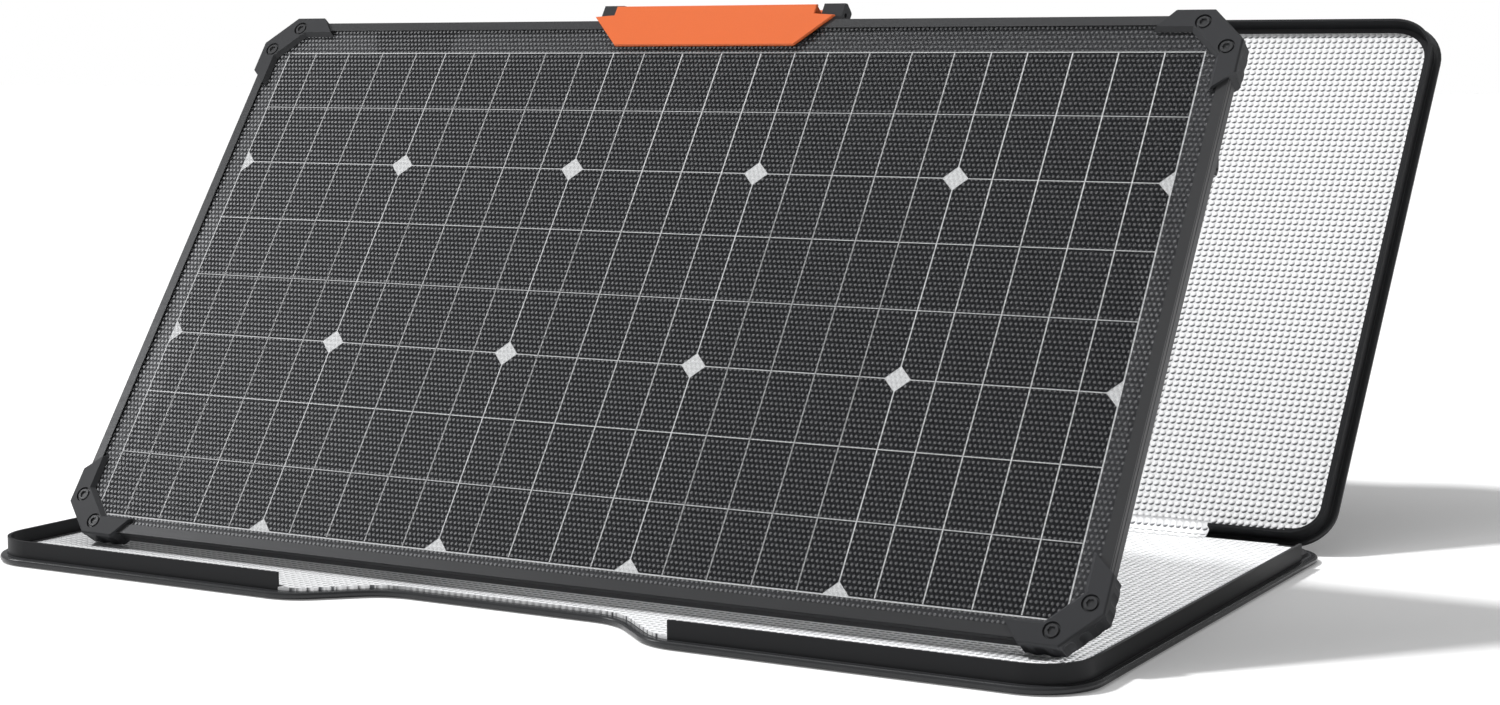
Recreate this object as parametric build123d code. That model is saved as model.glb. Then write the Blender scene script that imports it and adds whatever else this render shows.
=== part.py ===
from build123d import *
import math
import os

# Folding-case solar panel. A framed panel stands, on a hinged rear stand, in the lower half
# of its open two-part reflective case. The upper half leans back on a wire prop.
# Origin on the underside of the lower half, at its centre. +X right, +Y back, +Z up.
# Units are millimetres.

# ---- the two case halves ----
caseSideRoom = 25.5          # each half is wider than the frame by this, left and right
caseDepth = 540.0            # each half, from the hinge line to its far edge
boardThickness = 5.5
hingeHeight = 2.4            # hinge line above the underside of the lower half
spineRadius = 2.1            # rolled fabric of the case hinge
spineEndInset = 42.5         # from the side of the half
fitGap = 0.3                 # between soft or curved neighbours
seatGap = 0.1                # between rigid neighbours
restGap = 0.25               # between the panel's heel or feet and the liner
upperHingeEdge = spineRadius + fitGap
lowerHingeEdge = 3.6
tongueThickness = 0.8        # hinge fabric where it meets the lower half
farCornerRadius = 45.0
hingeCornerRadius = 35.0
edgeBeadWidth = 5.0          # moulded bead round each half
edgeBeadRound = 2.2
edgeBeadLift = 0.2           # the bead stays clear of the ground
handleMouthHalf = 154.0      # carrying notch in the far edge
handleFlatHalf = 100.0
handleDepth = 48.0
handleRound = 50.0
skirtInset = 6.0
skirtThickness = 2.5
skirtHeight = 13.5
skirtHingeShift = 2.0        # the hinge run of the upper skirt sits this much nearer the hinge
skirtEndPastMouth = 13.5      # far skirt runs stop beside the carrying notch
lowerSkirtEndFromHinge = 57.0
hingeRunEndInset = 99.5      # from the side of the half
linerThickness = 2.5         # foam-backed reflective liner
linerInset = 14.0
linerNotchInset = 6.2        # nearer the edge along the carrying notch
linerHingeEndInset = 39.5    # from the side of the half, where the liner runs on to the hinge
linerHingeGap = 10.0
backLean = 51.7              # upper half, degrees from the ground

# ---- prop behind the upper half ----
propPivotFromHinge = 236.0
propHalfWidth = 90.0
propWireRadius = 1.7
propSleeveLength = 120.0
propEarLength = 12.0
propBlockLength = 16.0
propGrooveSide = 0.8
propGrooveFloor = 0.5        # board left over the groove
propGrooveBelowPivot = 60.0  # room for the legs as they swing out
runningGap = 0.05            # round a pin that turns

# ---- panel frame ----
panelLean = 55.28            # degrees from the ground
panelHeelFromEdge = 75.3     # in from the far edge of the lower half
panelRightOfMiddle = 9.0     # it stands off the middle of the case
frameSideMargin = 23.5       # frame beyond the grid of cells
frameTopMargin = 30.02
frameDepth = 15.3
lipWidth = 8.0
lipThickness = 1.1
lipAboveCells = 2.6
railWall = 1.6
railBoxWidth = 12.0
railShelfTop = 10.8          # shelf under the laminate, above the rear face
railShelfThickness = 1.5
railFootWidth = 22.0
railFootThickness = 1.5
railGrooveWidth = 0.9
railGrooveDepth = 0.5
railGrooveDrops = (1.3, 6.6)  # two grooves in the outer wall, below the lip face
railEndCut = 45.0            # the rails stop on this diagonal under the guards

# ---- cells and laminate ----
cellColumns = 5
cellRows = 8
cellPitchX = 167.0
cellPitchY = 55.91
cellGapX = 1.2
cellGapY = 0.9
cellChamfer = 9.5
cellThickness = 0.2
waferRowLines = (2, 5, 8)    # row lines, counted from the top, where wafer corners fall
gridAboveFrameBottom = 16.1
gridBorder = 0.7             # light backing that shows round the grid
backingThickness = 0.1
ribbonPlaces = (0.177, 0.392, 0.607, 0.820)
ribbonWidth = 1.0
ribbonThickness = 0.15
filmThickness = 0.35
frontSheetThickness = 0.7
rearFilmThickness = 0.4
rearSheetThickness = 0.8
laminateEdgeInset = 2.6      # inside the frame's outer face
laminateCornerCut = 41.0     # diagonal that clears the guard screws
gasketSideWidth = 0.9
gasketOverlap = 4.2

# ---- corner keys and guards ----
keyChamfer = 24.2
keyUpperCut = 39.5
keyArmEnd = 62.0
guardWrap = 4.5              # stands out past the frame
guardPlate = 2.5
guardLegOuter = 54.5
guardLegInner = 67.7
guardLegWidth = 15.3
guardCut = 26.0
guardInnerBend = 39.6
guardDraft = 3.0             # inner walls spread outwards down to the glass
guardHeelRound = 3.0         # rear outer edge, which the panel tips on
guardFrontRound = 1.6
fluteRadius = 7.0
fluteDepth = 1.4
flutePitch = 12.2
fluteTopDrop = 8.0           # the flutes stop this far below the guard's face
screwAcross = 6.8            # guard screws from the frame's outer edges
screwAlong = 28.5
screwShankRadius = 1.95
screwHeadRadius = 4.8
screwHeadHeight = 1.3
hexSocketRadius = 3.1
washerRadius = 5.8
washerThickness = 0.4
counterboreRadius = 6.3
counterboreDepth = 1.8
screwLength = 11.0

# ---- tag on the top rail ----
tagHalfTop = 92.5
tagHalfShoulder = 110.4
tagHalfBottom = 82.0
tagAboveFrame = 13.1
tagShoulderAbove = 3.0
tagSideAbove = 4.3
tagBottomBelow = 25.6
tagFaceAboveLip = 2.4
tagThickness = 2.1
tagChamfer = 0.7
tagBarrelRadius = 4.5
tagWebDepth = 5.5
tagPinRadius = 2.0
tagPinBehindCells = 9.9
tagPinAboveFrame = 12.2
knuckleWidth = 18.5
knuckleGap = 0.3
knuckleFrontBehindCells = 4.4
knuckleDepth = 13.7
knuckleAboveFrame = 20.1
tagFootThickness = 3.0
tagPinRecess = 3.0
tagScrewPlaces = (-66.0, -22.0, 22.0, 66.0)

# ---- rear stand ----
standPivotFromHeel = 244.8
standPivotBehindCells = 19.5
standHalfWidth = 300.0
legWidth = 16.0
legEyeRadius = 5.0
footRodRadius = 2.0
footSleeveLength = 46.0
crossRailWidth = 30.0
crossRailDepth = 8.0
crossRailWall = 1.3
hingeEarThickness = 3.0
hingePlateThickness = 1.8
hingeEarRadius = 6.0
standPinRadius = 2.5
smallScrewRadius = 1.5
smallHeadRadius = 2.8
smallHeadHeight = 1.4

# ---- junction box and its socket ----
boxWidth = 120.0
boxHeight = 62.0
boxDepth = 22.0
boxWall = 2.0
boxLidThickness = 2.2
boxCentreBelowFrameTop = 62.0
socketRadius = 5.8
socketBoreRadius = 4.0
socketBoreDepth = 9.5
socketContactRadius = 3.0    # contact in its own pocket behind the bore
socketContactThickness = 1.5
socketLength = 14.0
socketBelowBoxMiddle = 12.0
socketBehindFrame = 0.9      # a straight plug passes behind the side rail
terminalSize = (16.0, 20.0, 7.0)

# ---- lugs behind the side rails ----
lugCentreBelowFrameTop = 116.5
lugLength = 13.0
lugStandOff = 5.6
lugThickness = 4.0
lugHoleRadius = 1.4

# ---- sizes and levels that follow ----
gridWidth = cellColumns * cellPitchX
gridHeight = cellRows * cellPitchY
frameWidth = gridWidth + 2 * frameSideMargin
frameHeight = gridAboveFrameBottom + gridHeight + frameTopMargin
caseWidth = frameWidth + 2 * caseSideRoom
skirtEndFromCentre = handleMouthHalf + skirtEndPastMouth
spineHalf = caseWidth / 2 - spineEndInset
linerHingeHalf = caseWidth / 2 - linerHingeEndInset
hingeRunEndFromCentre = caseWidth / 2 - hingeRunEndInset
boardLow = -hingeHeight
boardHigh = boardThickness - hingeHeight
linerTop = boardThickness + linerThickness
frameBottom = guardWrap - guardHeelRound
frameTop = frameBottom + frameHeight
frameMid = (frameBottom + frameTop) / 2
frameRear = guardPlate - guardHeelRound
lipFace = frameRear + frameDepth
lipUnder = lipFace - lipThickness
cellTop = lipFace - lipAboveCells
cellLow = cellTop - cellThickness
filmLow = cellTop + ribbonThickness
frontSheetLow = filmLow + filmThickness
frontSheetTop = frontSheetLow + frontSheetThickness
backingLow = cellLow - backingThickness
rearFilmLow = backingLow - rearFilmThickness
rearSheetLow = rearFilmLow - rearSheetThickness
shelfTop = frameRear + railShelfTop
gridBottom = gridAboveFrameBottom - frameHeight / 2
heelHeight = linerTop + restGap + guardHeelRound
heelY = panelHeelFromEdge - caseDepth / 2
guardFace = lipFace + guardPlate


# ================= helpers =================
def cyl(radius, length, at=(0, 0, 0), axis="x"):
    """Round bar centred on a point, along one axis."""
    turn = {"x": (0, 90, 0), "y": (90, 0, 0), "z": (0, 0, 0)}[axis]
    return Pos(*at) * Rot(*turn) * Cylinder(radius, length)


def block(x, y, z):
    """Box from (low, high) pairs."""
    size = [pair[1] - pair[0] for pair in (x, y, z)]
    middle = [(pair[0] + pair[1]) / 2 for pair in (x, y, z)]
    return Pos(*middle) * Box(*size)


def shape(*points):
    """Flat face through points in the XY plane."""
    return make_face(Polyline(*points, close=True))


def slab(face, low, high):
    """Prism of a flat face between two heights."""
    return Pos(0, 0, low) * extrude(face, amount=high - low, dir=(0, 0, 1))


def sideProfile(points, low, high):
    """Prism along X of a profile given as (y, z) points."""
    face = Plane.YZ * shape(*points)
    return Pos(low, 0, 0) * extrude(face, amount=high - low, dir=(1, 0, 0))


def grouped(parts):
    """All the solids of a list of shapes, as one compound."""
    solids = []
    for part in parts:
        solids += part.solids()
    return Compound(children=solids)


def bothSides(part):
    """A part and its mirror image across X."""
    return [part, mirror(part, about=Plane.YZ)]


def leanPlane(origin, degrees):
    """Plane with X across and Y running up a slope that leans back."""
    a = math.radians(degrees)
    return Plane(origin=origin, x_dir=(1, 0, 0), z_dir=(0, -math.sin(a), math.cos(a)))


def placed(part, plane, along=0):
    """A part drawn in a local plane, shifted along its Y and moved to where it stands."""
    moved = [plane.location * Pos(0, along, 0) * solid for solid in part.solids()]
    return Compound(children=moved) if len(moved) > 1 else moved[0]


hingePoint = (0, caseDepth / 2, hingeHeight)
lowerPlane = Plane(origin=hingePoint, x_dir=(-1, 0, 0), z_dir=(0, 0, 1))
upperPlane = leanPlane(hingePoint, backLean)
panelPlane = leanPlane((panelRightOfMiddle, heelY, heelHeight), panelLean)


# ================= the two case halves =================
# A half is drawn flat: X across, Y away from the hinge line, Z towards its inner side.
def plainOutline(nearEdge):
    """Rounded outline of a half without its notch."""
    w = caseWidth / 2
    face = shape((-w, nearEdge), (w, nearEdge), (w, caseDepth), (-w, caseDepth))
    near = face.vertices().filter_by(lambda v: v.Y < caseDepth / 2)
    face = fillet(near, hingeCornerRadius)
    far = face.vertices().filter_by(lambda v: v.Y > caseDepth - 1)
    return fillet(far, farCornerRadius)


def handleNotch():
    """Carrying notch with S-curved sides."""
    deep = caseDepth - handleDepth
    out = 2 * handleRound
    face = shape((-handleMouthHalf - out, caseDepth), (-handleMouthHalf, caseDepth),
                 (-handleFlatHalf, deep), (handleFlatHalf, deep), (handleMouthHalf, caseDepth),
                 (handleMouthHalf + out, caseDepth), (handleMouthHalf + out, caseDepth + out),
                 (-handleMouthHalf - out, caseDepth + out))
    bends = face.vertices().filter_by(lambda v: abs(v.X) < handleMouthHalf + 1)
    return fillet(bends, handleRound)


def halfOutline(nearEdge):
    """Outline of a case half, with its carrying notch."""
    return plainOutline(nearEdge) - handleNotch()


def inward(face, amount):
    """A face shrunk evenly."""
    return offset(face, -amount, kind=Kind.ARC)


def buildBoard(nearEdge):
    """Stiff board inside the bead."""
    return slab(inward(halfOutline(nearEdge), edgeBeadWidth), boardLow, boardHigh)


def buildBead(nearEdge):
    """Rounded bead round the board."""
    full = slab(halfOutline(nearEdge), boardLow + edgeBeadLift, boardHigh)
    rims = full.edges().filter_by(lambda e: abs((e @ 0).Z - (e @ 1).Z) < 0.01)
    full = fillet(rims, edgeBeadRound)
    hole = slab(inward(halfOutline(nearEdge), edgeBeadWidth), boardLow - 1, boardHigh + 1)
    return full - hole


def buildSkirts(nearEdge, hingeRun):
    """Upright skirts of a half, left and right runs."""
    ring = plainOutline(nearEdge - skirtHingeShift)
    band = inward(ring, skirtInset) - inward(ring, skirtInset + skirtThickness)
    band -= Pos(0, caseDepth) * Rectangle(2 * skirtEndFromCentre, caseDepth / 2)
    if hingeRun:
        band -= Rectangle(2 * hingeRunEndFromCentre, caseDepth / 2)
    else:
        band -= Rectangle(2 * caseWidth, 2 * lowerSkirtEndFromHinge)
    return slab(band, boardHigh, boardHigh + skirtHeight)


def linerReach(nearEdge, grow):
    """Where the liner runs on to the hinge."""
    far = nearEdge + linerInset + grow + 1
    width = 2 * (linerHingeHalf + grow)
    return Pos(0, (linerHingeGap + far) / 2) * Rectangle(width, far - linerHingeGap)


def notchRun(grow):
    """Strip between the far skirt runs, where the liner comes nearer the edge."""
    return Pos(0, caseDepth) * Rectangle(2 * (skirtEndFromCentre - fitGap + grow), caseDepth / 2)


def buildLiner(nearEdge):
    """Foam-backed reflective liner."""
    face = inward(halfOutline(nearEdge), linerInset) + linerReach(nearEdge, 0)
    face += inward(halfOutline(nearEdge), linerNotchInset) & notchRun(0)
    return slab(face, boardHigh, boardHigh + linerThickness)


def buildWelt(nearEdge):
    """Black edge welt between skirt and liner."""
    outline = halfOutline(nearEdge)
    face = inward(outline, skirtInset + skirtThickness + seatGap) - inward(outline, linerInset - seatGap)
    face -= linerReach(nearEdge, 2 * linerInset) & Rectangle(2 * (linerHingeHalf + seatGap), caseDepth)
    face -= notchRun(seatGap)
    return slab(face, boardHigh, boardHigh + linerThickness)


def buildHingeFabric():
    """Rolled fabric spine with its tongue on to the lower half."""
    roll = cyl(spineRadius, 2 * spineHalf)
    middle = (boardHigh + boardLow + edgeBeadLift) / 2
    tongue = block((-spineHalf, spineHalf), (0, lowerHingeEdge),
                   (middle - tongueThickness / 2, middle + tongueThickness / 2))
    return roll + tongue


# ================= prop behind the upper half =================
def propGrooves():
    """Space let into the rear of the upper board for the folded prop."""
    side = propWireRadius + propGrooveSide
    top = boardHigh - propGrooveFloor
    far = 2 * propPivotFromHinge
    depth = (boardLow - 1, top)
    footSide = hingeHeight + propGrooveSide
    foot = block((-propHalfWidth - side, propHalfWidth + side), (far - footSide, far + footSide), depth)
    leg = block((propHalfWidth - side, propHalfWidth + side),
                (propPivotFromHinge - propGrooveBelowPivot, far), depth)
    pocket = propBlock(seatGap)
    return foot, leg, pocket


def propBlock(grow):
    """Pivot block of the prop, or its pocket when grown."""
    low = propHalfWidth + propWireRadius + propGrooveSide + seatGap
    high = low + propEarLength
    top = boardHigh - propGrooveFloor - seatGap
    return block((low - grow, high + grow),
                 (propPivotFromHinge - propBlockLength / 2 - grow,
                  propPivotFromHinge + propBlockLength / 2 + grow),
                 (boardLow - 10 * grow, top + grow / 2))


def buildPropBrackets():
    """Two pivot blocks let into the upper board."""
    bored = propBlock(0) - cyl(propWireRadius + runningGap, caseWidth, (0, propPivotFromHinge, 0))
    return grouped(bothSides(bored))


def buildPropWire():
    """Bent wire: ears, legs and foot bar. Drawn with the pivot at the origin, legs along +Y."""
    reach = propPivotFromHinge
    ear = propEarLength
    wire = cyl(propWireRadius, 2 * propHalfWidth, (0, reach, 0))
    for side in (-1, 1):
        wire += cyl(propWireRadius, reach, (side * propHalfWidth, reach / 2, 0), "y")
        wire += cyl(propWireRadius, ear, (side * (propHalfWidth + ear / 2), 0, 0))
        wire += Pos(side * propHalfWidth, 0, 0) * Sphere(propWireRadius)
        wire += Pos(side * propHalfWidth, reach, 0) * Sphere(propWireRadius)
    return wire


def buildPropSleeve():
    """Rubber sleeve on the foot bar."""
    at = (0, propPivotFromHinge, 0)
    return cyl(hingeHeight, propSleeveLength, at) - cyl(propWireRadius, propSleeveLength, at)


def propPlane():
    """The prop leans back at the same angle as the upper half, the other way."""
    a = math.radians(backLean)
    pivot = (0, hingePoint[1] + propPivotFromHinge * math.cos(a),
             hingePoint[2] + propPivotFromHinge * math.sin(a))
    return leanPlane(pivot, -backLean)


# ================= panel frame =================
# Panel parts are drawn about the frame's centre: X across, Y up the slope, Z towards the front.
halfW = frameWidth / 2
halfH = frameHeight / 2


def cornerTriangles(size, low, high, edgeX=halfW, edgeY=halfH):
    """Four corner prisms whose slanted faces cut off this much of each side."""
    prisms = []
    for sx in (-1, 1):
        for sy in (-1, 1):
            x = sx * edgeX
            y = sy * edgeY
            face = shape((x + sx * 9, y + sy * 9), (x - sx * (size + 9), y + sy * 9),
                         (x + sx * 9, y - sy * (size + 9)))
            prisms.append(slab(face, low, high))
    return prisms


def railSection(length):
    """Hollow frame rail along X, outer wall on Y = 0, body towards +Y."""
    h = length / 2
    rear = frameRear
    rail = block((-h, h), (0, railWall), (rear, lipFace))
    rail += block((-h, h), (0, lipWidth), (lipUnder, lipFace))
    rail += block((-h, h), (0, railBoxWidth), (shelfTop - railShelfThickness, shelfTop))
    rail += block((-h, h), (railBoxWidth - railWall, railBoxWidth), (rear, shelfTop))
    rail += block((-h, h), (0, railFootWidth), (rear, rear + railFootThickness))
    for drop in railGrooveDrops:
        top = lipFace - drop
        rail -= block((-h, h), (0, railGrooveDepth), (top - railGrooveWidth, top))
    return rail


def buildRail(name):
    """One rail of the frame, cut back on the guard diagonals."""
    across = name in ("top", "bottom")
    rail = railSection(frameWidth if across else frameHeight)
    turn = {"bottom": 0, "right": 90, "top": 180, "left": 270}[name]
    reach = halfH if across else halfW
    rail = Rot(0, 0, turn) * Pos(0, -reach, 0) * rail
    for prism in cornerTriangles(railEndCut, frameRear - 1, lipFace + 1):
        rail -= prism
    if name == "top":
        for x in tagScrewPlaces:
            rail -= cyl(smallScrewRadius + seatGap / 2, 20, (x, halfH, tagScrewZ), "y")
    if not across:
        for x, y in railScrewPlaces():
            rail -= cyl(smallScrewRadius + seatGap / 2, 2 * railFootThickness + 1, (x, y, frameRear), "z")
    return rail


def atCorners(part):
    """A part drawn at the lower left corner, repeated at all four."""
    return [part, mirror(part, about=Plane.XZ), mirror(part, about=Plane.YZ), Rot(0, 0, 180) * part]


def buildCornerKey():
    """Moulded block that joins two rails, with an arm into each."""
    x = -halfW
    y = -halfH
    g = seatGap
    low = shape((x + keyChamfer, y + g), (x + railEndCut - g, y + g), (x + g, y + railEndCut - g),
                (x + g, y + keyChamfer))
    high = shape((x + keyChamfer, y + g), (x + keyUpperCut, y + g), (x + g, y + keyUpperCut),
                 (x + g, y + keyChamfer))
    key = slab(low, frameRear + g, shelfTop) + slab(high, shelfTop, lipFace)
    wide = (railWall + g, railBoxWidth - railWall - g)
    deep = (frameRear + railFootThickness + g, shelfTop - railShelfThickness - g)
    along = (keyChamfer + 10, keyArmEnd)
    key += block((x + along[0], x + along[1]), (y + wide[0], y + wide[1]), deep)
    key += block((x + wide[0], x + wide[1]), (y + along[0], y + along[1]), deep)
    for at in screwPlaces():
        key -= cyl(screwShankRadius + seatGap / 2, screwLength,
                   (at[0], at[1], lipFace - screwLength / 2), "z")
    return key


def screwPlaces():
    """The two guard screws of the lower left corner."""
    x = -halfW
    y = -halfH
    return ((x + screwAlong, y + screwAcross), (x + screwAcross, y + screwAlong))


# ================= laminate =================
def laminateFace(shrink):
    """Rectangle with cut corners, this far inside the laminate's edge."""
    inset = laminateEdgeInset + shrink
    face = Rectangle(frameWidth - 2 * inset, frameHeight - 2 * inset)
    cut = laminateCornerCut + shrink * math.sqrt(2)
    for sx in (-1, 1):
        for sy in (-1, 1):
            x = sx * halfW
            y = sy * halfH
            face -= shape((x + sx * 9, y + sy * 9), (x - sx * (cut + 9), y + sy * 9),
                          (x + sx * 9, y - sy * (cut + 9)))
    return face


def gridFace(grow):
    """Rectangle of the cell grid."""
    return Pos(0, gridBottom + gridHeight / 2) * Rectangle(gridWidth + 2 * grow, gridHeight + 2 * grow)


def buildFrontSheet():
    return slab(laminateFace(0), frontSheetLow, frontSheetTop)


def buildFrontFilm():
    return slab(laminateFace(0), filmLow, frontSheetLow)


def backingFace(grow):
    """Backing of the grid, cut back at the laminate's corners."""
    return gridFace(gridBorder + grow) & laminateFace(gasketOverlap + seatGap - grow)


def buildBacking():
    return slab(backingFace(0), backingLow, cellLow)


def buildRearFilm():
    """Rear film, with a rim that closes the laminate round the grid."""
    film = slab(laminateFace(0), rearFilmLow, filmLow)
    return film - slab(backingFace(seatGap), backingLow, filmLow + 1)


def buildRearSheet():
    return slab(laminateFace(0), rearSheetLow, rearFilmLow)


def buildGasket():
    """Rubber channel round the laminate's edge."""
    ring = slab(laminateFace(-gasketSideWidth), shelfTop, lipUnder)
    ring -= slab(laminateFace(0), rearSheetLow, frontSheetTop)
    return ring - slab(laminateFace(gasketOverlap), shelfTop - 1, lipUnder + 1)


def cellFace(topCut, bottomCut):
    """One cell, with wafer corners where asked."""
    w = (cellPitchX - cellGapX) / 2
    h = (cellPitchY - cellGapY) / 2
    c = cellChamfer
    points = [(-w + c, h), (w - c, h), (w, h - c)] if topCut else [(-w, h), (w, h)]
    points += [(w, -h + c), (w - c, -h), (-w + c, -h), (-w, -h + c)] if bottomCut else [(w, -h), (-w, -h)]
    if topCut:
        points.append((-w, h - c))
    return shape(*points)


def buildCells():
    """Five columns of eight cells."""
    cells = []
    for row in range(cellRows):
        face = cellFace(row in waferRowLines, row + 1 in waferRowLines)
        cell = slab(face, cellLow, cellTop)
        y = gridBottom + gridHeight - (row + 0.5) * cellPitchY
        for column in range(cellColumns):
            x = (column + 0.5) * cellPitchX - gridWidth / 2
            cells.append(Pos(x, y, 0) * cell)
    return grouped(cells)


def buildRibbons():
    """Four flat ribbons over each column of cells."""
    bars = []
    for column in range(cellColumns):
        for place in ribbonPlaces:
            x = (column + place) * cellPitchX - gridWidth / 2
            bars.append(block((x - ribbonWidth / 2, x + ribbonWidth / 2),
                              (gridBottom + gridBorder, gridBottom + gridHeight - gridBorder),
                              (cellTop, filmLow)))
    return grouped(bars)


# ================= corner guards =================
def guardPoints(draft):
    """Plan of a guard from its outer corner, inner edges spread by the draft."""
    slope = (guardLegInner - guardLegOuter) / guardLegWidth
    inner = guardLegWidth + draft
    tip = guardLegInner + draft * slope
    bend = guardInnerBend + draft * (math.sqrt(2) - 1)
    return [(guardCut, 0), (guardLegOuter, 0), (tip, inner), (bend, inner), (inner, bend), (inner, tip),
            (0, guardLegOuter), (0, guardCut)]


def onOuterWall(point):
    """True on the two outer faces or the chamfer between them."""
    near = 0.01
    return point.X < near or point.Y < near or abs(point.X + point.Y - guardCut) < near


def flutes():
    """Scallop cutters along the outer walls."""
    inset = fluteRadius - fluteDepth
    low = frameRear - guardPlate - 1
    top = guardFace - fluteTopDrop
    places = [(guardCut + 2.5 + k * flutePitch, -inset) for k in range(3)]
    places += [(y, x) for x, y in places]
    half = guardCut / 2
    shift = inset / math.sqrt(2)
    step = flutePitch / math.sqrt(2)
    places += [(half - shift + k * step, half - shift - k * step) for k in (-1, 0, 1)]
    tools = []
    for x, y in places:
        tools.append(cyl(fluteRadius, top - low, (x, y, (top + low) / 2), "z"))
        tools.append(Pos(x, y, top) * Sphere(fluteRadius))
    return tools


def buildGuard():
    """Moulded corner guard, drawn from its outer corner towards +X and +Y."""
    rear = frameRear - guardPlate
    drop = lipUnder + seatGap
    body = slab(shape(*guardPoints(0)), rear, guardFace)
    lower = Pos(0, 0, drop) * shape(*guardPoints(guardDraft))
    upper = Pos(0, 0, guardFace) * shape(*guardPoints(0))
    body += loft([lower, upper])
    outer = body.edges().filter_by(lambda e: onOuterWall(e @ 0.5) and abs((e @ 0).Z - (e @ 1).Z) < 0.01)
    body = fillet(outer.filter_by(lambda e: (e @ 0.5).Z < rear + 0.1), guardHeelRound)
    outer = body.edges().filter_by(lambda e: onOuterWall(e @ 0.5) and abs((e @ 0).Z - (e @ 1).Z) < 0.01)
    body = fillet(outer.filter_by(lambda e: (e @ 0.5).Z > guardFace - 0.1), guardFrontRound)
    for tool in flutes():
        body -= tool
    g = guardWrap
    far = 2 * guardLegInner
    cut = keyChamfer - seatGap
    room = shape((g + cut, g), (far, g), (far, far), (g, far), (g, g + cut))
    body -= slab(room, frameRear, drop)
    lip = lipWidth + seatGap
    key = keyUpperCut + seatGap
    under = shape((g + cut, g), (far, g), (far, g + lip), (g + key - lip, g + lip),
                  (g + lip, g + key - lip), (g + lip, far), (g, far), (g, g + cut))
    body -= slab(under, drop - 0.5, lipFace)
    for a, b in ((screwAlong, screwAcross), (screwAcross, screwAlong)):
        body -= cyl(screwShankRadius + seatGap, 8, (a + g, b + g, lipFace), "z")
        body -= cyl(counterboreRadius, 2 * counterboreDepth, (a + g, b + g, guardFace), "z")
    return Pos(-halfW - g, -halfH - g, 0) * body


def buildGuardScrews():
    """Eight button-head screws with hex sockets."""
    seat = guardFace - counterboreDepth + washerThickness
    head = seat + screwHeadHeight
    screws = []
    for x, y in screwPlaces():
        one = cyl(screwHeadRadius, screwHeadHeight, (x, y, (seat + head) / 2), "z")
        one = fillet(one.edges().sort_by(Axis.Z)[-1], 0.4)
        one += cyl(screwShankRadius, screwLength, (x, y, seat - screwLength / 2), "z")
        socket = Pos(x, y) * RegularPolygon(hexSocketRadius, 6)
        one -= slab(socket, seat + 0.2, head + 1)
        screws += atCorners(one)
    return grouped(screws)


def buildGuardWashers():
    """A flat washer under each guard screw."""
    low = guardFace - counterboreDepth
    rings = []
    for x, y in screwPlaces():
        ring = cyl(washerRadius, washerThickness, (x, y, low + washerThickness / 2), "z")
        ring -= cyl(screwShankRadius + seatGap, 3, (x, y, low), "z")
        rings += atCorners(ring)
    return grouped(rings)


# ================= tag =================
tagPinY = halfH + tagPinAboveFrame
tagPinZ = cellTop - tagPinBehindCells


def buildTagPlate():
    """Bare tag with the web and barrel it turns on."""
    top = halfH + tagAboveFrame
    face = lipFace + tagFaceAboveLip
    side = halfH + tagSideAbove
    shoulder = halfH + tagShoulderAbove
    bottom = halfH - tagBottomBelow
    outline = shape((-tagHalfTop, top), (tagHalfTop, top), (tagHalfTop, side),
                    (tagHalfShoulder, shoulder), (tagHalfBottom, bottom), (-tagHalfBottom, bottom),
                    (-tagHalfShoulder, shoulder), (-tagHalfTop, side))
    plate = slab(outline, face - tagThickness, face)
    rims = plate.edges().filter_by(lambda e: (e @ 0).Z > face - 0.01 and (e @ 1).Z > face - 0.01)
    plate = chamfer(rims, tagChamfer)
    back = face - tagThickness + 0.1
    knuckleFront = cellTop - knuckleFrontBehindCells
    web = sideProfile([(top - tagChamfer, back), (top - 1.7, knuckleFront - 2),
                       (tagPinY, tagPinZ + tagBarrelRadius - 0.5), (tagPinY, tagPinZ),
                       (tagPinY - tagBarrelRadius, tagPinZ), (top - tagWebDepth, back)],
                      -tagHalfTop + knuckleGap, tagHalfTop - knuckleGap)
    barrel = cyl(tagBarrelRadius, 2 * (tagHalfTop - knuckleGap), (0, tagPinY, tagPinZ))
    bore = cyl(tagPinRadius + runningGap, frameWidth, (0, tagPinY, tagPinZ))
    return plate + web + barrel - bore


def buildTagBracket():
    """Foot with a knuckle at each end."""
    inner = tagHalfTop + knuckleGap
    outer = inner + knuckleWidth
    front = cellTop - knuckleFrontBehindCells
    rear = front - knuckleDepth
    top = halfH + knuckleAboveFrame
    profile = [(halfH, front - 3.0), (halfH + 2.0, front - 1.6), (halfH + 8, front), (top, front),
               (top + 1.7, front - 3.1), (top + 0.2, rear + 1.7), (top - 0.8, rear),
               (halfH + 4.0, rear), (halfH, frameRear)]
    knuckle = sideProfile(profile, inner, outer)
    bracket = knuckle + mirror(knuckle, about=Plane.YZ)
    bracket += block((-outer, outer), (halfH, halfH + tagFootThickness), (frameRear, front - 3.2))
    bracket -= cyl(tagPinRadius, frameWidth, (0, tagPinY, tagPinZ))
    for x in tagScrewPlaces:
        bracket -= cyl(smallScrewRadius + seatGap, 20, (x, halfH, tagScrewZ), "y")
    return bracket


tagScrewZ = (frameRear + railFootThickness + cellTop - knuckleFrontBehindCells - 3.2) / 2


def buildTagPin():
    """Steel pin through the tag and both knuckles."""
    half = tagHalfTop + knuckleGap + knuckleWidth - tagPinRecess
    return cyl(tagPinRadius, 2 * half, (0, tagPinY, tagPinZ))


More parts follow.
